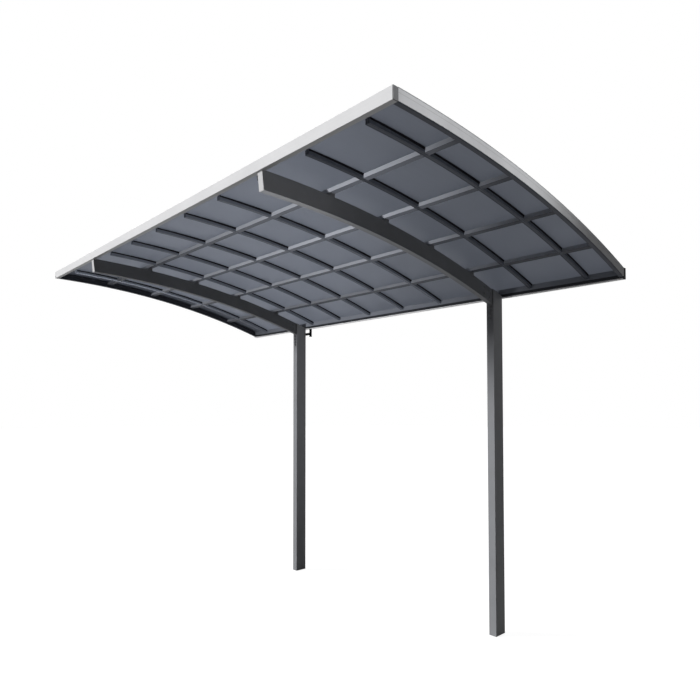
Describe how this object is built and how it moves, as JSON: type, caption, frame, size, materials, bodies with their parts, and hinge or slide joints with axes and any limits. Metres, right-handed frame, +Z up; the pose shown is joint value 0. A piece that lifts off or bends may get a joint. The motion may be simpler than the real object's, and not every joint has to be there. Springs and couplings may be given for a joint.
{
  "type": "cantilever carport",
  "caption": "One-sided carport with an arched roof of smoked sheets on slim dark rafters, carried by curved arms on posts along its rear side.",
  "frame": {"origin": "middle of the right post's foot, at ground level", "axes": "+X along the roof to the right gable, -Y to the free front edge of the roof, +Z up"},
  "size_m": [5, 2.664, 3.4977],
  "materials": {
    "charcoal_frame": "satin",
    "silver_frame": "satin",
    "grey_frame": "satin",
    "smoked_sheet": "gloss",
    "black_plastic": "matte"
  },
  "bodies": {
    "root": {"post_right": "charcoal_frame", "post_left": "charcoal_frame", "arm_right": "charcoal_frame", "arm_left": "charcoal_frame", "front_cap_right": "charcoal_frame", "front_cap_left": "charcoal_frame", "rear_gutter": "charcoal_frame", "rafter_01": "charcoal_frame", "rafter_02": "charcoal_frame", "rafter_03": "charcoal_frame", "rafter_04": "charcoal_frame", "rafter_05": "charcoal_frame", "rafter_06": "charcoal_frame", "rafter_07": "charcoal_frame", "rafter_08": "charcoal_frame", "rafter_09": "charcoal_frame", "rafter_10": "charcoal_frame", "front_beam": "silver_frame", "arm_end_plate_right": "silver_frame", "arm_end_plate_left": "silver_frame", "gable_frame_right": "grey_frame", "gable_frame_left": "grey_frame", "purlin_1": "grey_frame", "purlin_2": "grey_frame", "purlin_3": "grey_frame", "purlin_4": "grey_frame", "roof_sheet_01": "smoked_sheet", "roof_sheet_02": "smoked_sheet", "roof_sheet_03": "smoked_sheet", "roof_sheet_04": "smoked_sheet", "roof_sheet_05": "smoked_sheet", "roof_sheet_06": "smoked_sheet", "roof_sheet_07": "smoked_sheet", "roof_sheet_08": "smoked_sheet", "roof_sheet_09": "smoked_sheet", "roof_sheet_10": "smoked_sheet", "roof_sheet_11": "smoked_sheet", "gutter_cap_right": "black_plastic", "gutter_cap_left": "black_plastic", "drain_elbow": "black_plastic"}
  },
  "joints": []
}
